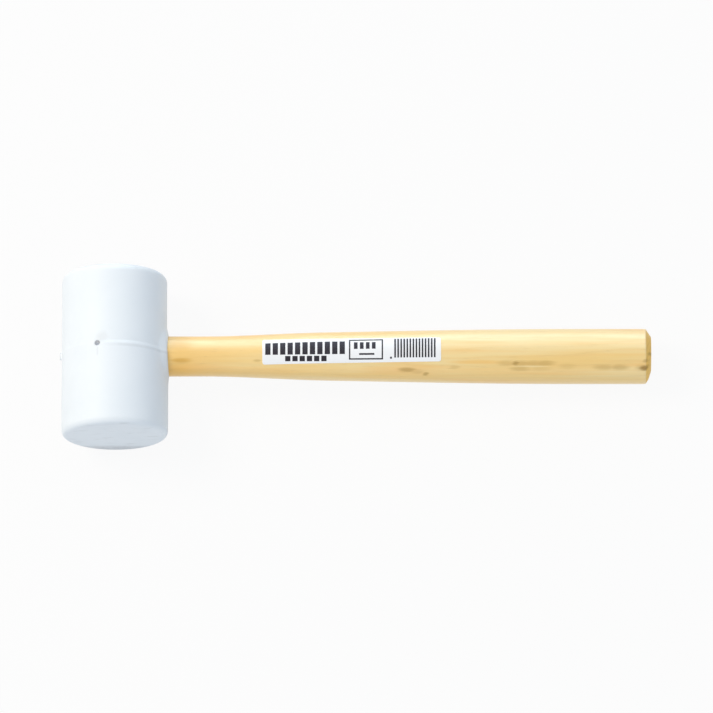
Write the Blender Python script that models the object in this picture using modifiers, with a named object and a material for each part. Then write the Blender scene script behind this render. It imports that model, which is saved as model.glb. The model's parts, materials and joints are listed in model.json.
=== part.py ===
"""A rubber mallet lying on its side, in metres with +Z up.

The head's axis runs along Y and the handle leaves it towards +X, dipping until its butt meets the floor. Each
piece is modelled about the point where the two axes cross, and one empty lays the whole mallet down.
"""

import math

import bmesh
import bpy
from mathutils.geometry import interpolate_bezier

# Head: one rubber moulding
HEAD_DIAMETER = 0.060
HEAD_LENGTH = 0.094
HEAD_RIM_RADIUS = 0.0030
RIDGE_WIDTH = 0.0030
RIDGE_HEIGHT = 0.0003

# Trimmed stub on the ridge opposite the handle, where the rubber was fed into the mould
GATE_WIDTH = 0.0045
GATE_THICKNESS = 0.0026
GATE_HEIGHT = 0.0011
GATE_EDGE = 0.0004

# Handle: one turning, its lengths in a row from the head's surface to the butt
NECK_LENGTH = 0.020
THROAT_LENGTH = 0.068
SWELL_LENGTH = 0.140
GRIP_LENGTH = 0.044
NECK_DIAMETER = 0.0226
SWELL_DIAMETER = 0.0272
GRIP_DIAMETER = 0.0311
SWELL_SLOPE = 0.018
BUTT_FACE_DIAMETER = 0.0172
BUTT_CHAMFER_DEPTH = 0.0032

# Tenon: the end of the handle, driven into a blind socket whose depth is measured from the head's surface
SOCKET_DEPTH = 0.0515
TENON_CHAMFER = 0.0020

# Nail: driven square to the handle through the head and into the tenon, its head sunk in the ridge
NAIL_OFFSET = 0.0096
NAIL_LENGTH = 0.0360
NAIL_SHANK_DIAMETER = 0.0020
NAIL_HEAD_DIAMETER = 0.0028
NAIL_HEAD_DEPTH = 0.0012
NAIL_POINT_LENGTH = 0.0034
NAIL_SINK = 0.0005

# Label film along the top of the handle, its start measured from the head's surface
LABEL_START = 0.0530
LABEL_LENGTH = 0.1005
LABEL_WIDTH = 0.0145
LABEL_THICKNESS = 0.0002

# Fits and fineness
FIT_GAP = 0.0003
CUT_OVERRUN = 0.004
MERGE_DISTANCE = 0.00001
HEAD_STEPS = 96
HANDLE_STEPS = 64
NAIL_STEPS = 24
ARC_STEPS = 6
CURVE_STEPS = 12
LABEL_CELLS = (26, 12)

# Worked out from the values above
head_radius = HEAD_DIAMETER / 2
rest_radius = head_radius + RIDGE_HEIGHT
neck_end = head_radius + NECK_LENGTH
swell_at = neck_end + THROAT_LENGTH
grip_at = swell_at + SWELL_LENGTH
reach = grip_at + GRIP_LENGTH
neck_radius = NECK_DIAMETER / 2
socket_end = head_radius - SOCKET_DEPTH
tenon_end = socket_end + FIT_GAP
gate_reach = head_radius + GATE_HEIGHT
nail_top = math.sqrt(rest_radius**2 - NAIL_OFFSET**2) - NAIL_SINK


def clear_scene():
    for obj in list(bpy.data.objects):
        bpy.data.objects.remove(obj, do_unlink=True)


def new_collection(name):
    collection = bpy.data.collections.new(name)
    bpy.context.scene.collection.children.link(collection)
    return collection


def finish(name, colour, roughness, metallic=0.0):
    """A Principled material of one colour."""
    material = bpy.data.materials.new(name)
    material.use_nodes = True
    shader = material.node_tree.nodes["Principled BSDF"]
    shader.inputs["Base Color"].default_value = (*colour, 1.0)
    shader.inputs["Roughness"].default_value = roughness
    shader.inputs["Metallic"].default_value = metallic
    return material


def add_object(name, data, collection):
    obj = bpy.data.objects.new(name, data)
    collection.objects.link(obj)
    return obj


def turned(name, axis, profile, steps, collection):
    """Spins a profile of (distance along the axis, radius) points, listed from the axis's + end to its - end."""
    mesh = bpy.data.meshes.new(name)
    outline = bmesh.new()
    previous = None
    for along, radius in profile:
        place = {"X": (along, radius, 0), "Y": (0, along, radius), "Z": (radius, 0, along)}
        vertex = outline.verts.new(place[axis])
        if previous:
            outline.edges.new((previous, vertex))
        previous = vertex
    outline.to_mesh(mesh)
    outline.free()
    obj = add_object(name, mesh, collection)
    screw = obj.modifiers.new("turn", "SCREW")
    screw.axis = axis
    screw.steps = steps
    screw.render_steps = steps
    screw.use_merge_vertices = True
    screw.merge_threshold = MERGE_DISTANCE
    screw.use_smooth_shade = True
    return obj


def block(name, size, middle, edge, collection):
    """A box with rounded edges."""
    mesh = bpy.data.meshes.new(name)
    box = bmesh.new()
    bmesh.ops.create_cube(box, size=1)
    bmesh.ops.scale(box, vec=size, verts=box.verts)
    bmesh.ops.translate(box, vec=middle, verts=box.verts)
    box.to_mesh(mesh)
    box.free()
    obj = add_object(name, mesh, collection)
    rounding = obj.modifiers.new("edges", "BEVEL")
    rounding.width = edge
    rounding.segments = 2
    return obj


def linear(start, start_value, end, end_value):
    """The straight-line function through two points."""
    slope = (end_value - start_value) / (end - start)
    return lambda x: start_value + slope * (x - start)


def combine(target, tool, operation):
    """Cuts a tool's shape out of the target or joins it on, and hides the tool."""
    boolean = target.modifiers.new(tool.name, "BOOLEAN")
    boolean.operation = operation
    boolean.solver = "EXACT"
    boolean.object = tool
    tool.hide_render = True
    tool.display_type = "WIRE"


def head_profile():
    """Flat face, rounded rim and straight side, the raised parting ridge, then the same mirrored."""
    rim = HEAD_RIM_RADIUS
    half = HEAD_LENGTH / 2
    side = [(half, 0.0)]
    for step in range(ARC_STEPS + 1):
        turn = math.pi / 2 * step / ARC_STEPS
        side.append((half - rim + rim * math.cos(turn), head_radius - rim + rim * math.sin(turn)))
    for step in range(ARC_STEPS):
        share = step / ARC_STEPS
        rise = RIDGE_HEIGHT * (1 - math.cos(math.pi * share)) / 2
        side.append((RIDGE_WIDTH / 2 * (1 - share), head_radius + rise))
    crest = [(0.0, rest_radius)]
    return side + crest + [(-along, radius) for along, radius in reversed(side)]


def handle_side():
    """The handle's outline from the flat of the butt to the chamfered end of the tenon, butt end first."""
    swell = SWELL_DIAMETER / 2
    grip = GRIP_DIAMETER / 2
    throat_pull = THROAT_LENGTH / 3
    swell_pull = SWELL_LENGTH / 3
    swell_curve = interpolate_bezier(
        (grip_at, grip),
        (grip_at - swell_pull, grip),
        (swell_at + swell_pull, swell + SWELL_SLOPE * swell_pull),
        (swell_at, swell),
        CURVE_STEPS,
    )
    throat_curve = interpolate_bezier(
        (swell_at, swell),
        (swell_at - throat_pull, swell - SWELL_SLOPE * throat_pull),
        (neck_end + throat_pull, neck_radius),
        (neck_end, neck_radius),
        CURVE_STEPS,
    )
    curve = [tuple(point) for point in swell_curve + throat_curve[1:]]
    chamfer = [(reach, BUTT_FACE_DIAMETER / 2), (reach - BUTT_CHAMFER_DEPTH, grip)]
    tenon = [(tenon_end + TENON_CHAMFER, neck_radius), (tenon_end, neck_radius - TENON_CHAMFER)]
    return chamfer + curve + tenon


def radius_at(side, distance):
    """The radius of a handle outline at a distance from the head's axis."""
    for (far, far_radius), (near, near_radius) in zip(side, side[1:]):
        if near <= distance <= far:
            return linear(near, near_radius, far, far_radius)(distance)
    return side[0][1]


def rest_tilt():
    """How far the handle dips until its first point meets the floor that the head lies on."""
    touching = [point for point in handle_side() if math.hypot(*point) > rest_radius]
    return min(math.asin(rest_radius / math.hypot(x, r)) - math.atan2(r, x) for x, r in touching)


def nail_profile(gap):
    """A lost-head nail, head first, grown by a gap all round. With a gap it is the hole, open to the outside."""
    top = nail_top + (CUT_OVERRUN if gap else 0.0)
    tip = nail_top - NAIL_LENGTH
    head = NAIL_HEAD_DIAMETER / 2 + gap
    shank = NAIL_SHANK_DIAMETER / 2 + gap
    neck = nail_top - NAIL_HEAD_DEPTH - gap
    shoulder = [(top, 0.0), (top, head), (neck, head), (neck - (head - shank), shank)]
    return shoulder + [(tip + NAIL_POINT_LENGTH, shank), (tip - gap, 0.0)]


def place_nail(obj):
    """Moves a shape turned about Z to where the nail goes in."""
    obj.location.x = -NAIL_OFFSET
    return obj


def make_nail(parts):
    return place_nail(turned("nail", "Z", nail_profile(0.0), NAIL_STEPS, parts))


def make_nail_hole(cutters):
    return place_nail(turned("nail_hole", "Z", nail_profile(FIT_GAP), NAIL_STEPS, cutters))


def make_head(parts, cutters, nail_hole):
    """The moulding with its gate stub, the socket for the tenon and the hole that the nail makes."""
    head = turned("head", "Y", head_profile(), HEAD_STEPS, parts)
    stub_size = (2 * GATE_HEIGHT + CUT_OVERRUN, GATE_WIDTH, GATE_THICKNESS)
    stub_middle = (stub_size[0] / 2 - gate_reach, 0, 0)
    combine(head, block("gate_stub", stub_size, stub_middle, GATE_EDGE, cutters), "UNION")
    bore = neck_radius + FIT_GAP
    mouth = rest_radius + CUT_OVERRUN
    socket = [(mouth, 0.0), (mouth, bore), (socket_end, bore), (socket_end, 0.0)]
    combine(head, turned("socket", "X", socket, HANDLE_STEPS, cutters), "DIFFERENCE")
    combine(head, nail_hole, "DIFFERENCE")
    return head


def make_handle(parts, nail_hole):
    profile = [(reach, 0.0)] + handle_side() + [(tenon_end, 0.0)]
    handle = turned("handle", "X", profile, HANDLE_STEPS, parts)
    combine(handle, nail_hole, "DIFFERENCE")
    return handle


def make_label(parts):
    """A flat film wrapped round the top of the handle, keeping its width as the handle swells."""
    mesh = bpy.data.meshes.new("label")
    film = bmesh.new()
    bmesh.ops.create_grid(film, x_segments=LABEL_CELLS[0], y_segments=LABEL_CELLS[1], size=0.5)
    middle = head_radius + LABEL_START + LABEL_LENGTH / 2
    side = handle_side()
    for vertex in film.verts:
        x = middle + vertex.co.x * LABEL_LENGTH
        radius = radius_at(side, x) + FIT_GAP
        turn = vertex.co.y * LABEL_WIDTH / radius
        vertex.co = (x, radius * math.sin(turn), radius * math.cos(turn))
    film.to_mesh(mesh)
    film.free()
    mesh.shade_smooth()
    label = add_object("label", mesh, parts)
    thicken = label.modifiers.new("thickness", "SOLIDIFY")
    thicken.thickness = LABEL_THICKNESS
    thicken.offset = 1.0
    return label


def lay_down(pieces, parts):
    """Parents the pieces to one empty that rests the mallet on its head and butt, centred over the origin."""
    tilt = rest_tilt()
    butt_x = max(x * math.cos(tilt) + r * math.sin(tilt) for x, r in handle_side())
    gate_x = gate_reach * math.cos(tilt) + GATE_THICKNESS / 2 * math.sin(tilt)
    mallet = add_object("mallet", None, parts)
    mallet.location = ((gate_x - butt_x) / 2, 0, rest_radius)
    mallet.rotation_euler.y = tilt
    for piece in pieces:
        piece.parent = mallet


def main():
    clear_scene()
    parts = new_collection("rubber_mallet")
    cutters = new_collection("cutters")
    nail_hole = make_nail_hole(cutters)
    head = make_head(parts, cutters, nail_hole)
    handle = make_handle(parts, nail_hole)
    nail = make_nail(parts)
    label = make_label(parts)
    head.data.materials.append(finish("white_rubber", (0.80, 0.83, 0.86), 0.50))
    handle.data.materials.append(finish("pale_hardwood", (0.80, 0.58, 0.27), 0.45))
    nail.data.materials.append(finish("nail_steel", (0.30, 0.30, 0.31), 0.40, 1.0))
    label.data.materials.append(finish("label_film", (0.88, 0.88, 0.87), 0.40))
    lay_down([head, handle, nail, label] + list(cutters.objects), parts)


main()
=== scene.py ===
# %% [markdown]
# # A white rubber mallet
# The mallet is a solid rubber head on a turned wooden handle, with a film label on the handle. The handle is driven
# into a socket in the head, and a nail goes through both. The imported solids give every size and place. This lesson
# models each piece again with the finish of the real one, and then lights it as a studio picture on a white floor.

import json
import math

import bmesh
import bpy
import numpy as np
from mathutils import Matrix, Vector


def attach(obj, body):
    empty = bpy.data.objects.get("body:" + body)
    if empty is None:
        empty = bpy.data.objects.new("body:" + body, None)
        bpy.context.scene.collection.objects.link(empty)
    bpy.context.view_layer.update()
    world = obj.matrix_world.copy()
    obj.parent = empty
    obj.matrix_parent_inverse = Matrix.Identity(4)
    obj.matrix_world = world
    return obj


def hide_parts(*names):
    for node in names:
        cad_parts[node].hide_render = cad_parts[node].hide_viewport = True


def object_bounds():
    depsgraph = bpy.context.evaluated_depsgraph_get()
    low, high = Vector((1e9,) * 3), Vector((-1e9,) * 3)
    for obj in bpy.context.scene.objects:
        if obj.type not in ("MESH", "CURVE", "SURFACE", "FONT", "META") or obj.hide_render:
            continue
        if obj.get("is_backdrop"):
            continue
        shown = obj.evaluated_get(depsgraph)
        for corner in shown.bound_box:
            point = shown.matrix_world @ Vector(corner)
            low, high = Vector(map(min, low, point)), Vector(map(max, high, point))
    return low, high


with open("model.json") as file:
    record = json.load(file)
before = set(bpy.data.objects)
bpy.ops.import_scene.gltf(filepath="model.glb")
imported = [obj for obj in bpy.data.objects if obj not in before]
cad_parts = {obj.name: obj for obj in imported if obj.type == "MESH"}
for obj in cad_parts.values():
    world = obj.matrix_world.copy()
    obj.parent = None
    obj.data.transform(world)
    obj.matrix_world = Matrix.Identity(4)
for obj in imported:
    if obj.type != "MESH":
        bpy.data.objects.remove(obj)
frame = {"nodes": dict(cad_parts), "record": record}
cad_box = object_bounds()
print("solids:", sorted(frame["nodes"]))

# %% [markdown]
# ## The bench
# The mallet lies on its head with the butt on the floor, so its handle dips by a few degrees. Sloping pieces are
# awkward to model, so they are made on a bench where X runs down the handle, Y along the head, and the two axes
# cross at the origin. One matrix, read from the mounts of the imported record, then lays each piece down.

# %% Find the bench
mounts = {mount["name"]: mount for mount in frame["record"]["mounts"]}
butt_axis = Vector(mounts["butt_face"]["axis"])
front_face = Vector(mounts["strike_face_front"]["pos_m"])
back_face = Vector(mounts["strike_face_back"]["pos_m"])
crossing = (front_face + back_face) / 2
tilt = math.atan2(-butt_axis.z, butt_axis.x)
lay_down = Matrix.Translation(crossing) @ Matrix.Rotation(tilt, 4, "Y")
print(f"the handle dips {math.degrees(tilt):.2f} degrees")


# %% Measure the head on the bench
def bench_points(node):
    """The node's points as they lie on the bench."""
    lift = lay_down.inverted()
    return np.array([lift @ vertex.co for vertex in frame["nodes"][node].data.vertices])


head_points = bench_points("head")
head_along = np.abs(head_points[:, 1])
from_head_axis = np.hypot(head_points[:, 0], head_points[:, 2])
head_half = float(head_along.max())
head_radius = float(from_head_axis[head_along > head_half / 4].max())
rim = head_radius - float(from_head_axis[head_along > head_half - 1e-5].max())
ridge_radius = float(head_points[:, 2].max())
underside = (head_points[:, 2] < -head_radius / 2) & (from_head_axis < head_radius + 1e-5)
ridge_half = float(head_along[underside].min())
print(f"head {2000 * head_radius:.1f} x {2000 * head_half:.1f} mm, rims of {1000 * rim:.1f} mm")
print(f"ridge {2000 * ridge_half:.1f} mm wide and {1000 * (ridge_radius - head_radius):.2f} mm high")


# %% [markdown]
# ## Ways of working
# Mesh operators act on whatever is selected, so a few small helpers come first. They make a single object active,
# select vertices, edges or faces by where they are, apply a modifier, and lay a finished piece down, give it its
# body and hide the solid it stands for.

# %% Helpers for modelling
def only(obj):
    """Makes this the one selected object, and the active one."""
    bpy.ops.object.select_all(action="DESELECT")
    obj.select_set(True)
    bpy.context.view_layer.objects.active = obj


def edit(obj):
    """Opens this object alone for editing."""
    only(obj)
    bpy.ops.object.mode_set(mode="EDIT")


def close():
    """Ends editing."""
    bpy.ops.object.mode_set(mode="OBJECT")


def choose(kind, test):
    """While editing, selects each VERT or EDGE whose place passes a test, or each FACE whose middle and normal do."""
    bpy.ops.mesh.select_mode(type=kind)
    bpy.ops.mesh.select_all(action="DESELECT")
    mesh = bmesh.from_edit_mesh(bpy.context.edit_object.data)
    if kind == "VERT":
        chosen = [vertex for vertex in mesh.verts if test(vertex.co)]
    elif kind == "EDGE":
        ends = {edge: [vertex.co for vertex in edge.verts] for edge in mesh.edges}
        chosen = [edge for edge, (a, b) in ends.items() if test(a) and test(b) and test((a + b) / 2)]
    else:
        chosen = [face for face in mesh.faces if test(face.calc_center_median(), face.normal)]
    for element in chosen:
        element.select_set(True)
    mesh.select_flush_mode()
    bmesh.update_edit_mesh(bpy.context.edit_object.data)
    return len(chosen)


def slice_at(places, normal):
    """While editing, cuts the whole mesh at places along an axis, and keeps both sides of each cut."""
    for place in places:
        bpy.ops.mesh.select_all(action="SELECT")
        bpy.ops.mesh.bisect(plane_co=Vector(normal) * place, plane_no=normal)


def apply(obj, kind, **settings):
    """Adds a modifier, sets it up and applies it."""
    only(obj)
    modifier = obj.modifiers.new(kind.lower(), kind)
    for name, value in settings.items():
        setattr(modifier, name, value)
    bpy.ops.object.modifier_apply(modifier=modifier.name)


def cut(obj, cutter, operation="DIFFERENCE"):
    """Takes a cutter's shape out of an object, or joins it on, and throws the cutter away."""
    apply(obj, "BOOLEAN", object=cutter, operation=operation, solver="EXACT")
    bpy.data.objects.remove(cutter, do_unlink=True)


def new_piece(name):
    """Names the primitive that was just added, with its place in its mesh."""
    bpy.ops.object.transform_apply(location=True, rotation=True, scale=True)
    bpy.context.object.name = name
    return bpy.context.object


def hand_over(obj, node, smooth_angle):
    """Shades a piece, lays it down on the root body and hides the solid it stands for."""
    only(obj)
    bpy.ops.object.shade_smooth_by_angle(angle=math.radians(smooth_angle))
    apply(obj, "WEIGHTED_NORMAL", keep_sharp=True)
    obj.matrix_world = lay_down
    bpy.ops.object.transform_apply(location=True, rotation=True, scale=True)
    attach(obj, "root")
    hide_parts(node)
    print(f"{obj.name}: {len(obj.data.polygons)} faces")


# %% [markdown]
# ## The rubber head
# The real head is pressed in a two-part mould, so it has rounded rims and a thin raised line round its middle,
# where the halves of the mould meet. It could be spun from a profile. A cylinder is quicker, because its rims
# bevel into rounds and its middle, cut into rings, scales up into the ridge. The rims of this head have worn
# rounder than those of the solid. More rings beside the ridge keep the shading even when holes are cut there, and
# let the rubber swell round the handle.

# %% Turn a cylinder into the moulding
HEAD_SIDES = 192
FRONT_WEAR = 1.2
BACK_WEAR = 1.5
RIM_STEPS = 10
RIDGE_RINGS = 8
RIDGE_WEAR = 0.4
CLOSE_RINGS = np.arange(0.0022, 0.0200, 0.0013)
WIDE_RINGS = (0.0225, 0.0265, 0.0320, 0.0390)
UNIT_X = (1, 0, 0)
UNIT_Y = (0, 1, 0)

bpy.ops.object.select_all(action="DESELECT")
bpy.ops.mesh.primitive_cylinder_add(
    vertices=HEAD_SIDES,
    radius=head_radius,
    depth=2 * head_half,
    rotation=(math.pi / 2, 0, 0),
)
rubber_head = new_piece("rubber_head")
edit(rubber_head)
for face_place, wear in ((-head_half, FRONT_WEAR), (head_half, BACK_WEAR)):
    choose("EDGE", lambda end: abs(end.y - face_place) < 1e-6)
    bpy.ops.mesh.bevel(offset=rim * wear, segments=RIM_STEPS, clamp_overlap=False)
ridge_places = np.linspace(-ridge_half, ridge_half, RIDGE_RINGS + 1)
side_places = [side * place for place in (*CLOSE_RINGS, *WIDE_RINGS) for side in (-1, 1)]
slice_at([*ridge_places, *side_places], UNIT_Y)
for place in ridge_places[1:-1]:
    rise = (ridge_radius - head_radius) * RIDGE_WEAR * (1 + math.cos(math.pi * place / ridge_half)) / 2
    growth = 1 + rise / head_radius
    choose("VERT", lambda co: abs(co.y - place) < 1e-6)
    bpy.ops.transform.resize(value=(growth, 1, growth))
close()
print(f"moulding: {len(rubber_head.data.polygons)} faces")

# %% [markdown]
# ## Halves that don't quite meet
# On this head the back half of the mould was a little smaller and sat a little off, which leaves a small step in
# the outline beside the handle. Each ring of the ridge is scaled and moved by its share of the step, and the rest of
# the back half by all of it.

# %% Shrink and shift the back half
BACK_GROWTH = 0.987
BACK_SHIFT = 0.00040

def shrink_and_shift(test, share):
    """Moves the chosen vertices by a share of the mismatch of the halves."""
    count = choose("VERT", test)
    growth = 1 + (BACK_GROWTH - 1) * share
    bpy.ops.transform.resize(value=(growth, 1, growth))
    bpy.ops.transform.translate(value=(-BACK_SHIFT * share, 0, 0))
    return count


edit(rubber_head)
for place in ridge_places[1:-1]:
    shrink_and_shift(lambda co: abs(co.y - place) < 1e-6, (1 + place / ridge_half) / 2)
moved = shrink_and_shift(lambda co: co.y > ridge_half - 1e-6, 1)
close()
print(f"back half: {moved} vertices moved by {1000 * BACK_SHIFT:.1f} mm")

# %% [markdown]
# ## The gate stub
# Rubber is fed into the mould through a small gate on the parting line, here opposite the handle. What stays is
# trimmed off by hand and leaves a low, uneven stub. A cube gets a smaller outer end, rounded edges and a little
# roughness, and is then joined to the head.

# %% Raise the stub
STUB_TAPER = (1, 0.90, 0.80)
STUB_EDGE = 0.0005
STUB_RAGGED = 0.00008

stub_points = head_points[head_points[:, 0] < -ridge_radius - 1e-5]
stub_reach = -float(stub_points[:, 0].min())
stub_width = 2 * float(stub_points[:, 1].max())
stub_thickness = 2 * float(stub_points[:, 2].max())
stub_root = head_radius - 0.003
bpy.ops.object.select_all(action="DESELECT")
bpy.ops.mesh.primitive_cube_add(size=1, location=(-(stub_reach + stub_root) / 2, 0, 0))
bpy.context.object.scale = (stub_reach - stub_root, stub_width, stub_thickness)
gate_stub = new_piece("gate_stub")
edit(gate_stub)
choose("FACE", lambda middle, normal: normal.x < -0.9)
bpy.ops.transform.resize(value=STUB_TAPER)
choose("EDGE", lambda end: True)
bpy.ops.mesh.bevel(offset=STUB_EDGE, segments=3)
choose("FACE", lambda middle, normal: middle.x < -head_radius)
bpy.ops.mesh.subdivide(number_cuts=2)
choose("VERT", lambda co: co.x < -head_radius)
bpy.ops.transform.vertex_random(offset=STUB_RAGGED, seed=4)
bpy.ops.transform.translate(value=(STUB_RAGGED, 0, 0))
close()
cut(rubber_head, gate_stub, "UNION")
print(f"stub {1000 * stub_width:.1f} x {1000 * stub_thickness:.1f} mm")


# %% [markdown]
# ## Round pieces from rings
# The handle, the nail and the tools that cut their holes are all turned shapes. One helper reads the rings of a
# turned solid as stations. The other makes a shape from stations along X: it adds a filled circle at the first and
# then, as by hand, extrudes its face and scales it, station after station.

# %% Helpers for turned shapes
def ring_stations(along, around, full_ring):
    """Stations of (place, radius) where a turned solid has whole rings of points."""
    radii = np.hypot(around[:, 0], around[:, 1])
    stations = []
    for place in np.unique(np.round(along, 5)):
        here = np.abs(along - place) < 2e-5
        radius = radii[here].max()
        ring = np.unique(np.round(around[here & (radii > radius - 1e-5)], 5), axis=0)
        if len(ring) >= full_ring:
            stations.append((float(place), float(radius)))
    return stations


def turn(name, stations, sides):
    """Extrudes a disc along X through stations of (place, radius)."""
    place, radius = stations[0]
    bpy.ops.object.select_all(action="DESELECT")
    bpy.ops.mesh.primitive_circle_add(
        vertices=sides,
        radius=radius,
        fill_type="NGON",
        location=(place, 0, 0),
        rotation=(0, math.pi / 2, 0),
    )
    obj = new_piece(name)
    edit(obj)
    bpy.ops.mesh.select_mode(type="FACE")
    bpy.ops.mesh.select_all(action="SELECT")
    for next_place, next_radius in stations[1:]:
        move = {"value": (next_place - place, 0, 0)}
        bpy.ops.mesh.extrude_region_move(TRANSFORM_OT_translate=move)
        growth = next_radius / radius
        bpy.ops.transform.resize(value=(1, growth, growth))
        place, radius = next_place, next_radius
    bpy.ops.mesh.select_all(action="SELECT")
    bpy.ops.mesh.normals_make_consistent(inside=False)
    close()
    return obj


# %% Read the handle's stations from its solid
HANDLE_RING = 40
TENON_RING = 0.012

handle_points = bench_points("handle")
handle_stations = ring_stations(handle_points[:, 0], handle_points[:, 1:], HANDLE_RING)
tenon_place, tenon_radius = handle_stations[0]
neck_radius = handle_stations[1][1]
chamfer_place, grip_radius = handle_stations[-2]
butt_place, butt_radius = handle_stations[-1]
handle_stations.insert(2, (TENON_RING, neck_radius))
print(f"{len(handle_stations)} stations from {1000 * tenon_place:.1f} to {1000 * butt_place:.1f} mm")

# %% [markdown]
# ## The socket
# The end of the handle is driven into a blind socket across the head, and the rubber grips it with no gap to speak
# of. The socket is cut with a turned tool. All the cuts in the head come before its edges are softened, because a
# Boolean wants a clean closed mesh.

# %% Bore the socket
SOCKET_SIDES = 96
SOCKET_CLEARANCE = 0.00004
SOCKET_FLOOR = 0.0003
RUN_OUT = 0.003

socket_radius = neck_radius + SOCKET_CLEARANCE
socket_stations = [(tenon_place - SOCKET_FLOOR, socket_radius), (ridge_radius + RUN_OUT, socket_radius)]
cut(rubber_head, turn("socket_tool", socket_stations, SOCKET_SIDES))
print(f"socket {2000 * socket_radius:.1f} mm across")

# %% [markdown]
# ## The nail
# A lost-head nail is driven down through the head and the tenon, and punched a little below the rubber. It is a
# turned shape like the handle, so the same helper makes it along X, with a bevelled head and the dimple of the
# punch, and it is then stood on its point. The same shape, grown a little, cuts its hole.

# %% Turn the nail and cut its hole
NAIL_RING = 20
NAIL_SIDES = 32
NAIL_TIP = 0.0001
NAIL_CLEARANCE = 0.00006
NAIL_EDGE = 0.00018
PUNCH_MARGIN = 0.00065
PUNCH_DEPTH = 0.00025

nail_points = bench_points("nail")
nail_place = float(nail_points[:, 0].min() + nail_points[:, 0].max()) / 2
nail_top = float(nail_points[:, 2].max())
nail_length = nail_top - float(nail_points[:, 2].min())
nail_around = nail_points[:, :2] - (nail_place, 0)
nail_stations = ring_stations(nail_top - nail_points[:, 2], nail_around, NAIL_RING)
nail_stations.append((nail_length, NAIL_TIP))
nail_radius = nail_stations[0][1]


def stand_up(obj):
    """Turns a piece made along X so that it points down, with its start at the top of the nail."""
    obj.rotation_euler.y = math.pi / 2
    obj.location = (nail_place, 0, nail_top)
    only(obj)
    bpy.ops.object.transform_apply(location=True, rotation=True, scale=True)
    return obj


hole_stations = [(place + NAIL_CLEARANCE, radius + NAIL_CLEARANCE) for place, radius in nail_stations]
hole_stations[0] = (-RUN_OUT, nail_radius + NAIL_CLEARANCE)
cut(rubber_head, stand_up(turn("nail_tool", hole_stations, NAIL_SIDES)))

steel_nail = turn("steel_nail", nail_stations, NAIL_SIDES)
edit(steel_nail)
choose("EDGE", lambda end: abs(end.x) < 1e-6)
bpy.ops.mesh.bevel(offset=NAIL_EDGE, segments=2, clamp_overlap=False)
choose("FACE", lambda middle, normal: normal.x < -0.99)
bpy.ops.mesh.inset(thickness=PUNCH_MARGIN)
bpy.ops.transform.translate(value=(PUNCH_DEPTH, 0, 0))
close()
stand_up(steel_nail)
print(f"nail {1000 * nail_length:.1f} mm long, {2000 * nail_radius:.1f} mm across its head")

# %% [markdown]
# ## Soft edges
# Rubber has no sharp edges. Round the handle it also swells a little, so that the mouth of the socket is nearly flat
# and not a deep saddle. The edge of the mouth is scaled and moved with proportional editing, which takes the rubber
# round it along, and is then bevelled to a soft lip. The Boolean leaves some vertices very close together, so those
# along the edge are merged first.

# %% Swell the mouth and round its lip
MOUTH_FLATTEN = 0.30
MOUTH_RISE = 0.0004
SWELLING = 0.0060
LIP = 0.0004
LIP_STEPS = 3
MELT = 0.00025

smallest_radius = head_radius * BACK_GROWTH - BACK_SHIFT


def on_lip(co):
    """True where the socket meets the outside of the head."""
    near_bore = abs(math.hypot(co.y, co.z) - socket_radius) < 0.0001
    return near_bore and co.x > 0 and math.hypot(co.x, co.z) > smallest_radius - 0.0003


edit(rubber_head)
choose("VERT", on_lip)
bpy.ops.mesh.remove_doubles(threshold=MELT)
swelling = {"use_proportional_edit": True, "proportional_size": SWELLING, "proportional_edit_falloff": "SMOOTH"}
choose("VERT", on_lip)
bpy.ops.transform.resize(value=(MOUTH_FLATTEN, 1, 1), center_override=(head_radius, 0, 0), **swelling)
bpy.ops.transform.translate(value=(MOUTH_RISE, 0, 0), **swelling)
lip_edges = choose("EDGE", on_lip)
bpy.ops.mesh.bevel(offset=LIP, segments=LIP_STEPS, clamp_overlap=True)
close()
print(f"lip along {lip_edges} edges")

# %% Round the rubber over the nail
PINCH = 0.0003


def on_pinch(co):
    """True where the nail's hole meets the outside of the head."""
    near_hole = abs(math.hypot(co.x - nail_place, co.y) - nail_radius - NAIL_CLEARANCE) < 0.00005
    return near_hole and co.z > 0 and math.hypot(co.x, co.z) > smallest_radius - 0.0001


edit(rubber_head)
choose("VERT", on_pinch)
bpy.ops.mesh.remove_doubles(threshold=MELT / 2)
pinch_edges = choose("EDGE", on_pinch)
bpy.ops.mesh.bevel(offset=PINCH, segments=LIP_STEPS, clamp_overlap=True)
close()
print(f"pinch along {pinch_edges} edges")

# %% Hand the head and the nail over
hand_over(rubber_head, "head", 40)
hand_over(steel_nail, "nail", 40)

# %% [markdown]
# ## The handle
# The handle is one stick of pale hardwood turned on a lathe: slim at the neck, swelling to the grip, and cut off
# with a plain chamfer at the butt. Its stations come from the solid. On this one the chamfer was rounded over by
# hand, so it gets one more station, and its flat end is a little wider and off the middle. The edges are bevelled,
# because sanded wood has no sharp edge.

# %% Turn the handle
HANDLE_SIDES = 128
CROWN_DEPTH = 0.53
CROWN_FALL = 0.39
FLAT_GROWTH = 1.12
FLAT_SHIFT = 0.0013
FLAT_WEAR = 0.0001
SANDED_EDGE = 0.0005
SANDED_STEPS = 3

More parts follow.
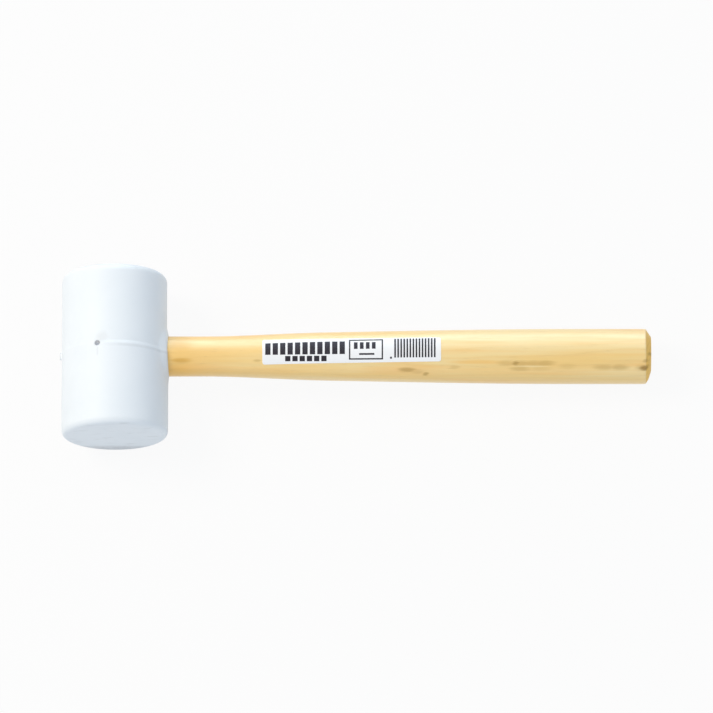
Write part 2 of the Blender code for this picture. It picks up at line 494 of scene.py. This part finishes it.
crown_place = chamfer_place + (butt_place - chamfer_place) * CROWN_DEPTH
crown_radius = grip_radius - (grip_radius - butt_radius) * CROWN_FALL
flat_place = butt_place - FLAT_WEAR
butt_stations = [(crown_place, crown_radius), (flat_place, butt_radius * FLAT_GROWTH)]
wood_handle = turn("wood_handle", handle_stations[:-1] + butt_stations, HANDLE_SIDES)
edit(wood_handle)
choose("VERT", lambda co: abs(co.x - flat_place) < 1e-5)
bpy.ops.transform.translate(value=(0, FLAT_SHIFT, 0))
for place in (flat_place, crown_place, chamfer_place, tenon_place):
    choose("EDGE", lambda end: abs(end.x - place) < 1e-5)
    bpy.ops.mesh.bevel(offset=SANDED_EDGE, segments=SANDED_STEPS, clamp_overlap=False)
close()
print(f"handle: {len(wood_handle.data.polygons)} faces")


# %% [markdown]
# ## The label
# A die-cut film label is stuck along the top of the handle. It starts as a flat rectangle with rounded corners,
# cut into a grid. Shrinkwrap presses it down onto the wood, and Solidify gives it the thickness of a film, so
# that its edge is real and casts a thin shadow.

# %% Press the film onto the wood
FILM_CORNER = 0.0012
FILM_LIFT = 0.00003
FILM_THICKNESS = 0.00016
FILM_COLUMNS = 48
FILM_ROWS = 20
FILM_SKEW = math.radians(0.5)

label_points = bench_points("label")
film_start = float(label_points[:, 0].min())
film_end = float(label_points[:, 0].max())
film_half = float(label_points[:, 1].max())
film_middle = (film_start + film_end) / 2
film_radius = float(np.interp(film_middle, *zip(*handle_stations)))
bpy.ops.object.select_all(action="DESELECT")
bpy.ops.mesh.primitive_plane_add(size=1, location=(film_middle, 0, 2 * film_radius))
bpy.context.object.scale = (film_end - film_start, 2 * film_half, 1)
label_film = new_piece("label_film")
edit(label_film)
bpy.ops.mesh.select_all(action="SELECT")
bpy.ops.mesh.bevel(offset=FILM_CORNER, segments=5, affect="VERTICES")
slice_at(np.linspace(film_start, film_end, FILM_COLUMNS + 1)[1:-1], UNIT_X)
slice_at(np.linspace(-film_half, film_half, FILM_ROWS + 1)[1:-1], UNIT_Y)
close()
label_film.matrix_world = Matrix.Rotation(FILM_SKEW, 4, "Z")
label_film.location -= label_film.matrix_world @ Vector((film_middle, 0, 0)) - Vector((film_middle, 0, 0))
only(label_film)
bpy.ops.object.transform_apply(location=True, rotation=True, scale=True)
apply(
    label_film,
    "SHRINKWRAP",
    target=wood_handle,
    wrap_method="PROJECT",
    use_project_z=True,
    use_negative_direction=True,
    use_positive_direction=False,
    offset=FILM_LIFT,
)
apply(label_film, "SOLIDIFY", thickness=FILM_THICKNESS, offset=1.0)
print(f"film {1000 * (film_end - film_start):.1f} mm long")

# %% Drill the tenon and hand both over
cut(wood_handle, stand_up(turn("nail_tool", hole_stations, NAIL_SIDES)))
hand_over(wood_handle, "handle", 30)
hand_over(label_film, "label", 40)


# %% [markdown]
# ## Writing shaders as sums
# A finish is mostly arithmetic on places and noise. One small class wraps a node's output, so that sums written
# in Python add Math nodes, and one method adds any other node. The few helpers below are the words that the
# finishes are written in.

# %% A socket with operators
class Wire:
    """An output socket of a material, on which + - * / and ** add Math nodes."""

    def __init__(self, tree, socket):
        self.tree = tree
        self.socket = socket

    def node(self, kind, settings, sockets, output=0):
        """Adds a node, makes its settings, then fills or links its sockets."""
        made = self.tree.nodes.new("ShaderNode" + kind)
        for name, value in settings.items():
            setattr(made, name, value)
        for key, value in sockets.items():
            if isinstance(value, Wire):
                self.tree.links.new(value.socket, made.inputs[key])
            else:
                made.inputs[key].default_value = value
        return Wire(self.tree, made.outputs[output])

    def math(self, operation, *values):
        return self.node("Math", {"operation": operation}, dict(enumerate(values)))

    def __add__(self, other):
        return self.math("ADD", self, other)

    def __sub__(self, other):
        return self.math("SUBTRACT", self, other)

    def __rsub__(self, other):
        return self.math("SUBTRACT", other, self)

    def __mul__(self, other):
        return self.math("MULTIPLY", self, other)

    def __truediv__(self, other):
        return self.math("DIVIDE", self, other)

    def __rtruediv__(self, other):
        return self.math("DIVIDE", other, self)

    def __pow__(self, other):
        return self.math("POWER", self, other)

    def __abs__(self):
        return self.math("ABSOLUTE", self)

    __radd__ = __add__
    __rmul__ = __mul__


# %% Words for finishes
MIX_A = 6
MIX_B = 7
MIX_COLOUR = 2


def parts(vector):
    """The three numbers of a vector."""
    return [vector.node("SeparateXYZ", {}, {0: vector}, output=axis) for axis in range(3)]


def stretch(vector, scale):
    """A vector with each axis multiplied."""
    return vector.node("VectorMath", {"operation": "MULTIPLY"}, {0: vector, 1: scale})


def noise(vector, scale, detail=3.0, roughness=0.55):
    """Cloudy noise from about 0.2 to 0.8."""
    sockets = {"Vector": vector, "Scale": scale, "Detail": detail, "Roughness": roughness}
    return vector.node("TexNoise", {}, sockets)


def ramp(value, start, end):
    """0 before start and 1 after end, with a smooth rise between. With start above end it falls."""
    settings = {"interpolation_type": "SMOOTHSTEP"}
    sockets = {"Value": value, "From Min": start, "From Max": end}
    return value.node("MapRange", settings, sockets)


def band(value, low, high, soft):
    """1 between low and high, fading over a soft edge outside them."""
    return ramp(value, low - soft, low) * ramp(value, high + soft, high)


def blend(factor, first, second):
    """One colour where the factor is 0 and another where it is 1."""
    sockets = {0: factor, MIX_A: first, MIX_B: second}
    return factor.node("Mix", {"data_type": "RGBA"}, sockets, output=MIX_COLOUR)


def length_of(first, second):
    """The distance from zero of a place given by two numbers."""
    return (first * first + second * second) ** 0.5


# %% [markdown]
# Every finish reads Object coordinates. The pieces lie on the floor at a slope, so a Mapping node first takes the
# coordinates back to the bench. There X again runs down the handle, and marks can be put where they are measured.

# %% Start a finish
def start_finish(name, *pieces):
    """A new material on some pieces, its shader and the bench coordinates in it."""
    material = bpy.data.materials.new(name)
    material.use_nodes = True
    for piece in pieces:
        piece.data.materials.clear()
        piece.data.materials.append(material)
    tree = material.node_tree
    shader = tree.nodes["Principled BSDF"]
    coordinates = Wire(tree, tree.nodes.new("ShaderNodeTexCoord").outputs["Object"])
    sockets = {"Vector": coordinates, "Location": crossing, "Rotation": (0, tilt, 0)}
    bench = coordinates.node("Mapping", {"vector_type": "TEXTURE"}, sockets)
    print("finish:", name)
    return shader, bench


def paint(shader, colour, roughness, height, depth):
    """Links the colour, the roughness and a bump that is depth high to a shader."""
    tree = colour.tree
    bump = height.node("Bump", {}, {"Strength": 1.0, "Distance": depth, "Height": height})
    for wire, name in ((colour, "Base Color"), (roughness, "Roughness"), (bump, "Normal")):
        tree.links.new(wire.socket, shader.inputs[name])
    print(f"  {len(tree.nodes)} nodes")


# %% [markdown]
# ## White rubber
# Fresh white rubber is a cool white, slightly mottled, with a fine matt skin from the mould. It picks up grey scuffs
# on the striking faces and at the trimmed gate, and a faint stain runs from the nail. Painted shade lies grey along
# the front of the parting line, round the front of the socket's mouth and towards the lower edges of the faces.

# %% Finish the head
RUBBER = (0.845, 0.895, 0.935, 1)
RUBBER_CLOUD = (0.815, 0.868, 0.912, 1)
RUBBER_GRIME_AND_SHADE = (0.430, 0.440, 0.450, 1)

shader, bench = start_finish("white_rubber", rubber_head)
x, y, z = parts(bench)
cloud = noise(bench, 45, 3)
grime_and_shade_noise = noise(bench, 220, 5, 0.65)
skin = noise(bench, 2600, 2)
colour = blend(ramp(cloud, 0.36, 0.70) * 0.5, RUBBER, RUBBER_CLOUD)
# Painted shade: a grey line on the front flank of the parting line, from the nail round to the handle side.
front_valley_shade = band(y, ridge_half * -1.1, ridge_half * -0.7, 0.0009) * ramp(x, nail_place, 0.006)
colour = blend(front_valley_shade * (ramp(grime_and_shade_noise, 0.30, 0.70) * 0.10 + 0.13), colour, RUBBER_GRIME_AND_SHADE)
trimmed = ramp(x, -ridge_radius - 0.0001, -ridge_radius - 0.0006)
colour = blend(trimmed * 0.40, colour, RUBBER_GRIME_AND_SHADE)
face = ramp(abs(y), head_half - 0.0012, head_half - 0.0002)
streaks = noise(stretch(bench, (75, 1, 320)), 1, 5, 0.6)
scuff = face * ramp(streaks, 0.52, 0.72)
colour = blend(scuff * 0.20, colour, RUBBER_GRIME_AND_SHADE)
# Painted shade: the faces turn darker towards their lower edges, next to the floor.
low_edge_shade = ramp(abs(y), head_half - 0.0040, head_half - 0.0015) * ramp(z, -0.0165, -0.0225)
colour = blend(low_edge_shade * (ramp(grime_and_shade_noise, 0.30, 0.60) * 0.18 + 0.30), colour, RUBBER_GRIME_AND_SHADE)
# Painted shade: grey round the front half of the socket's mouth, where the rubber meets the handle.
lip_shade = ramp(length_of(y, z), neck_radius + 0.0016, neck_radius + 0.0001) * ramp(x, 0.0, 0.005)
lip_shade = lip_shade * ramp(y, 0.004, -0.003)
colour = blend(lip_shade * ramp(grime_and_shade_noise, 0.30, 0.60) * 0.30, colour, RUBBER_GRIME_AND_SHADE)
near_nail = length_of(x - nail_place, y) + (grime_and_shade_noise - 0.5) * 0.0010
stain = ramp(near_nail, nail_radius * 1.8, nail_radius * 0.8) * 0.30
weep = band(x + (grime_and_shade_noise - 0.5) * 0.0012, nail_place - 0.0001, nail_place + 0.0003, 0.0006)
weep = weep * band(y, -0.0062, -0.0030, 0.0020) * 0.14
# A grey patch up and to the right of the nail.
from_patch = length_of(x - nail_place - 0.0023, y - 0.0034) + (grime_and_shade_noise - 0.5) * 0.0040
nail_patch = ramp(from_patch, 0.0048, 0.0010) * 0.17
on_top = ramp(z, 0.0, 0.010)
for spot in (stain.math("MAXIMUM", stain, weep), nail_patch):
    colour = blend(spot * on_top, colour, RUBBER_GRIME_AND_SHADE)
rough = 0.46 + cloud * 0.10 + scuff * 0.10 + skin * 0.06
paint(shader, colour, rough, skin * 0.6 + grime_and_shade_noise * 0.6 + scuff * 0.6, 0.00010)

# %% [markdown]
# ## Pale hardwood
# Growth rings are shells round a pith that ran beside the stick, so a distance from that line, wrapped into
# steps, gives rings that run true along the sides and over the end grain. They are faint here. Broad soft bands
# and fine fibres are noise stretched along the handle, and pores are short dark dashes. The few brown streaks are
# where this handle has them.

# %% Finish the handle
WOOD = (0.945, 0.640, 0.215, 1)
WOOD_PALE = (0.950, 0.725, 0.330, 1)
WOOD_WARM = (0.935, 0.550, 0.150, 1)
WOOD_RING = (0.780, 0.500, 0.170, 1)
WOOD_AMBER = (0.920, 0.490, 0.070, 1)
WOOD_PORE_AND_SHADE = (0.560, 0.350, 0.120, 1)
WOOD_STREAK = (0.400, 0.220, 0.020, 1)
WOOD_CUT = (0.960, 0.570, 0.100, 1)
WOOD_END = (0.640, 0.380, 0.060, 1)
WOOD_KNOT = (0.300, 0.150, 0.012, 1)
PITH = (-0.036, -0.052)
PITH_LEAN = 0.05
RING_WIDTH = 0.0026

# Each mark: place along the handle, turn from the top towards the back, half length, half width, strength
STREAKS = (
    (0.0372, -28, 0.0066, 9.0, 0.34),
    (0.0800, -27, 0.0026, 4.0, 0.36),
    (0.1645, -47, 0.0058, 7.0, 0.58),
    (0.1701, -52, 0.0040, 8.0, 0.24),
    (0.1746, -58, 0.0020, 6.2, 0.58),
    (0.1910, -40, 0.0036, 5.0, 0.22),
    (0.2205, -30, 0.0062, 7.0, 0.28),
    (0.2285, -30, 0.0072, 6.4, 0.37),
    (0.2350, -30, 0.0076, 6.4, 0.35),
    (0.2418, -30, 0.0070, 6.4, 0.40),
    (0.2280, -43, 0.0070, 6.0, 0.34),
    (0.2395, -43, 0.0074, 5.5, 0.16),
    (0.2545, -37, 0.0055, 8.0, 0.15),
    (0.2752, -39, 0.0072, 7.5, 0.33),
    (0.2838, -39, 0.0064, 7.5, 0.38),
    (0.2965, -40, 0.0040, 8.0, 0.30),
)
KNOTS = (
    (0.2254, -30, 0.0020, 5.6, 0.45),
    (0.2978, -41, 0.0028, 7.3, 0.80),
    (0.2986, -25, 0.0018, 4.5, 0.38),
    (0.3014, -9, 0.0016, 6.0, 0.50),
)
PALE_MARKS = (
    (0.2340, -37, 0.0110, 3.0, 0.80),
    (0.2830, -49, 0.0090, 3.0, 0.40),
)
WARM_MARKS = (
    (0.0365, 8, 0.0085, 26.0, 0.40),
    (0.0372, -27, 0.0090, 12.0, 0.75),
    (0.0370, -55, 0.0090, 14.0, 0.60),
    (0.2040, -28, 0.0170, 6.0, 0.50),
)

shader, bench = start_finish("pale_hardwood", wood_handle)
x, y, z = parts(bench)
sway = noise(stretch(bench, (9, 60, 60)), 1, 2)
ring_distance = length_of(y - PITH[0] - x * PITH_LEAN, z - PITH[1])
ring_turns = ring_distance / RING_WIDTH + sway * 4.0
ring_phase = ring_turns.math("FRACT", ring_turns)
ring = ramp(ring_phase, 0.35, 0.86) * ramp(ring_phase, 1.0, 0.88)
broad = noise(stretch(bench, (7, 110, 110)), 1, 3, 0.5)
warm = noise(stretch(bench, (11, 150, 150)), 1, 2, 0.5)
fibre = noise(stretch(bench, (14, 800, 800)), 1, 4, 0.6)
thread = noise(stretch(bench, (60, 2600, 2600)), 1, 3, 0.6)
pore = ramp(noise(stretch(bench, (150, 3200, 3200)), 1, 1), 0.62, 0.74)
turn_angle = x.math("ARCTAN2", y, z) * (180 / math.pi)
ragged_turn = turn_angle + (thread - 0.5) * 5.0 + (fibre - 0.5) * 4.0
ragged_place = x + (thread - 0.5) * 0.006


def marks(rows):
    """Soft spots on the wood, where the strongest one wins."""
    total = None
    for place, angle, half_length, half_width, strength in rows:
        along = (ragged_place - place) / half_length
        across = (ragged_turn - angle) / half_width
        mark = ramp(length_of(along, across), 1.25, 0.30) * strength
        total = mark if total is None else total.math("MAXIMUM", total, mark)
    return total


streak = marks(STREAKS)
warm = ramp(warm, 0.48, 0.68) * 0.60
colour = blend(ramp(broad, 0.34, 0.66), WOOD_PALE, WOOD)
colour = blend(warm, colour, WOOD_WARM)
near_head = ramp(x, 0.085, 0.035) * ramp(turn_angle, 25, -15) * 0.50
colour = blend(near_head.math("MAXIMUM", near_head, marks(WARM_MARKS)), colour, WOOD_AMBER)
colour = blend(ramp(fibre, 0.40, 0.75) * 0.22, colour, WOOD_WARM)
colour = blend(ring * 0.14, colour, WOOD_RING)
colour = blend(pore * (ring * 0.2 + 0.08), colour, WOOD_PORE_AND_SHADE)
colour = blend(marks(PALE_MARKS), colour, WOOD_PALE)
colour = blend(streak, colour, WOOD_STREAK)
# Painted shade and shadow: the wood darkens round the front of the socket's mouth, and the head's shadow darkens the
# top of the neck.
neck_shade_zone = ramp(x, head_radius + 0.020, head_radius + 0.004)
mouth_shade_on_wood = ramp(x, head_radius + 0.0030, head_radius - 0.0010) * ramp(y, 0.004, -0.003)
head_shadow_on_neck = neck_shade_zone * ramp(turn_angle, -4, 16)
colour = blend(mouth_shade_on_wood * 0.33 + head_shadow_on_neck * 0.32, colour, WOOD_PORE_AND_SHADE)
end_grain = ramp(x, chamfer_place - 0.0001, chamfer_place + 0.0004)
end_grain = end_grain.math("MAXIMUM", end_grain, ramp(x, tenon_place + 0.0006, tenon_place + 0.0001))
end_specks = noise(stretch(bench, (300, 2400, 2400)), 1, 3)
end_colour = blend(ring * 0.3 + ramp(end_specks, 0.45, 0.7) * 0.25, WOOD_CUT, WOOD_END)
colour = blend(end_grain * 0.85, colour, end_colour)
knot = marks(KNOTS)
colour = blend(knot, colour, WOOD_KNOT)
rough = 0.36 + fibre * 0.10 + end_grain * 0.25 + streak * 0.10
wood_height = thread * 0.5 - pore * 0.4 - ring * 0.2 - streak * 0.3
paint(shader, colour, rough, wood_height, 0.00007)
# Near the head the coat is thinner, which dims the sheen on the neck.
varnish = 0.85 - end_grain * 0.70 - neck_shade_zone * 0.50 - streak * 0.8 - knot * 1.2
varnish.tree.links.new(varnish.socket, shader.inputs["Coat Weight"])
shader.inputs["Coat Roughness"].default_value = 0.40

# %% [markdown]
# ## Printed film
# The label is a white film with dark print. Its print here is generic: a headline of plain bars, a second line of
# shorter bars, a framed box and a block of even stripes. Distances along the film and round the handle, in
# millimetres, make a flat sheet to draw on.

# %% Finish the label
FILM = (0.960, 0.965, 0.975, 1)
FILM_AGED = (0.935, 0.935, 0.930, 1)
INK = (0.012, 0.010, 0.016, 1)
INK_WORN = (0.045, 0.036, 0.055, 1)
INK_EDGE = 0.10

shader, bench = start_finish("label_film", label_film)
x, y, z = parts(bench)
along = (x - film_start) * 1000
across = x.math("ARCTAN2", y, z) * (film_radius * 1000) - (x - film_middle) * (FILM_SKEW * 1000)
blot = noise(bench, 1500, 3)
wobble = (blot - 0.5) * 0.08
print_along = along + wobble
print_across = across + wobble


def block(left, right, low, high):
    """A printed rectangle, in millimetres on the film."""
    return band(print_along, left, right, INK_EDGE) * band(print_across, low, high, INK_EDGE)


def bars(left, right, low, high, count, ink_share):
    """A row of even bars in a rectangle."""
    pitch = (right - left) / count
    turns = (print_along - left) / pitch
    phase = turns.math("FRACT", turns)
    edge = INK_EDGE / pitch
    return block(left, right, low, high) * band(phase, edge, ink_share, edge)


headline = bars(1.6, 47.6, -2.4, 5.2, 11, 0.72)
second_line = bars(12.8, 37.2, -6.4, -3.3, 6, 0.74)
frame_box = block(48.8, 67.9, -5.6, 6.2) - block(49.6, 67.1, -4.8, 5.4)
box_bars = bars(51.5, 65.0, 0.4, 4.4, 4, 0.62)
box_line = block(54.5, 63.0, -3.0, -2.1)
dot = block(71.9, 72.9, -5.2, -4.2)
stripes = bars(74.2, 98.2, -4.6, 6.3, 14, 0.56)
ink = headline + second_line + frame_box + box_bars + box_line + dot + stripes
ink = ramp(ink, 0.15, 0.85)
aged = noise(bench, 90, 3)
colour = blend(ramp(aged, 0.45, 0.75) * 0.5, FILM, FILM_AGED)
colour = blend(ink, colour, blend(ramp(blot, 0.45, 0.75), INK, INK_WORN))
paint(shader, colour, 0.34 + aged * 0.12 + ink * 0.08, blot + ink * 0.5, 0.00002)
shader.inputs["Specular IOR Level"].default_value = 0.30

# %% [markdown]
# ## Nail steel
# The nail is plain steel wire, dulled to a dark grey, with a few specks of rust.

# %% Finish the nail
STEEL = (0.385, 0.400, 0.430, 1)
STEEL_DULL = (0.275, 0.290, 0.315, 1)
RUST = (0.220, 0.160, 0.120, 1)

shader, bench = start_finish("nail_steel", steel_nail)
patch = noise(bench, 700, 4)
spot = noise(bench, 2200, 4, 0.65)
rust = ramp(spot, 0.58, 0.68)
colour = blend(ramp(patch, 0.40, 0.62), STEEL, STEEL_DULL)
colour = blend(rust * 0.7, colour, RUST)
paint(shader, colour, 0.50 + patch * 0.20 + rust * 0.20, spot + patch, 0.00010)
metal = 0.7 - rust * 0.6
metal.tree.links.new(metal.socket, shader.inputs["Metallic"])

# %% [markdown]
# ## Studio
# The picture is a cut-out on white, so the floor shows nearly white to the camera and to reflections, and keeps a
# soft shadow. The light is an even, cool dome, a broad, warmer lamp up and to the left, and long low strips behind
# and in front, whose reflections lie along the handle. The level is plain: a surface of full white that faces the
# lamp renders just under white.

# %% Lay the floor and hang the lights
FLOOR_SIZE = 24.0
FLOOR_WHITE = (0.74, 0.74, 0.74, 1)
FLOOR_GLOW = 0.92
DOME = 0.69
DOME_TINT = (0.82, 0.90, 1.0, 1)

# Each lamp: name, place, width, height, power by the square of its distance, colour, and whether it only shines
LAMPS = (
    ("key", (-1.23, 0.45, 1.52), 0.9, 0.9, 4.70, (1.0, 0.88, 0.71), False),
    ("back_strip", (0.05, 1.60, 0.25), 1.6, 0.30, 2.05, (0.82, 0.92, 1.0), False),
    ("back_panel", (0.05, 1.45, 0.85), 1.9, 1.80, 8.00, (0.62, 0.80, 1.0), True),
    ("front_strip", (0.05, -1.60, 0.30), 1.6, 0.30, 0.95, (1.0, 1.0, 1.0), False),
)

bpy.ops.object.select_all(action="DESELECT")
bpy.ops.mesh.primitive_plane_add(size=FLOOR_SIZE)
floor = bpy.context.object
floor.name = "floor"
floor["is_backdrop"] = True


def seen_by_lens(tree):
    """1 for rays from the lens, straight or through a reflection or glass, and 0 for light on the object."""
    path = tree.nodes.new("ShaderNodeLightPath")
    kinds = ("Is Camera Ray", "Is Glossy Ray", "Is Transmission Ray")
    camera, glossy, transmission = [Wire(tree, path.outputs[kind]) for kind in kinds]
    seen = camera + glossy + transmission
    return seen.math("MINIMUM", seen, 1.0)


material = bpy.data.materials.new("white_floor")
material.use_nodes = True
floor.data.materials.append(material)
tree = material.node_tree
tree.nodes.remove(tree.nodes["Principled BSDF"])
seen = seen_by_lens(tree)
matt = seen.node("BsdfDiffuse", {}, {"Color": FLOOR_WHITE})
glow = seen.node("Emission", {}, {"Color": (1, 1, 1, 1), "Strength": 1.0})
mixed = seen.node("MixShader", {}, {0: seen * FLOOR_GLOW, 1: matt, 2: glow})
tree.links.new(mixed.socket, tree.nodes["Material Output"].inputs["Surface"])

world = bpy.data.worlds.new("dome")
bpy.context.scene.world = world
world.use_nodes = True
tree = world.node_tree
seen = seen_by_lens(tree)
dome = seen.node("Background", {}, {"Color": DOME_TINT, "Strength": DOME})
white = seen.node("Background", {}, {"Color": (1, 1, 1, 1), "Strength": 1.0})
mixed = seen.node("MixShader", {}, {0: seen, 1: dome, 2: white})
tree.links.new(mixed.socket, tree.nodes["World Output"].inputs["Surface"])

for name, place, width, height, power, lamp_colour, only_shines in LAMPS:
    way = Vector(place)
    bpy.ops.object.light_add(
        type="AREA",
        location=place,
        rotation=way.to_track_quat("Z", "Y").to_euler(),
    )
    lamp = bpy.context.object
    lamp.name = name
    lamp.data.shape = "ELLIPSE"
    lamp.data.size = width
    lamp.data.size_y = height
    lamp.data.energy = power * way.length_squared
    lamp.data.color = lamp_colour
    lamp.visible_camera = False
    lamp.visible_diffuse = not only_shines
    print(f"{name}: {lamp.data.energy:.1f} W, {way.length:.2f} m away")

# %% [markdown]
# ## Camera
# The picture was taken with a long lens from nearly overhead, leaning a little towards the front face of the
# head, so that its end shows as a thin ellipse. The camera is turned with the handle, which keeps the handle
# level in the picture. The lens is worked out from the field that the picture covers.

# %% Place the camera
LEAN = math.radians(16)
DISTANCE = 8.0
PICTURE_PIXELS = 713
PIXELS_PER_METRE = 1775.0
AIM = 0.136
SENSOR = 36.0

field = PICTURE_PIXELS / PIXELS_PER_METRE
facing = Matrix.Rotation(tilt, 4, "Y") @ Matrix.Rotation(LEAN, 4, "X")
aim = lay_down @ Vector((AIM, 0, 0))
bpy.ops.object.camera_add(location=aim + facing.to_3x3() @ Vector((0, 0, DISTANCE)), rotation=facing.to_euler())
camera = bpy.context.object
camera.data.sensor_width = SENSOR
camera.data.lens = SENSOR * DISTANCE / field
camera.data.clip_end = 2 * DISTANCE + FLOOR_SIZE
bpy.context.scene.camera = camera
bpy.context.scene.view_settings.view_transform = "Standard"
print(f"lens of {camera.data.lens:.0f} mm at {DISTANCE} m")

# %% Print the two boxes and finish
boxes = {"cad": cad_box, "visual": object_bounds()}
boxes = {name: [[float(value) for value in corner] for corner in box] for name, box in boxes.items()}
print("boxes:", boxes)
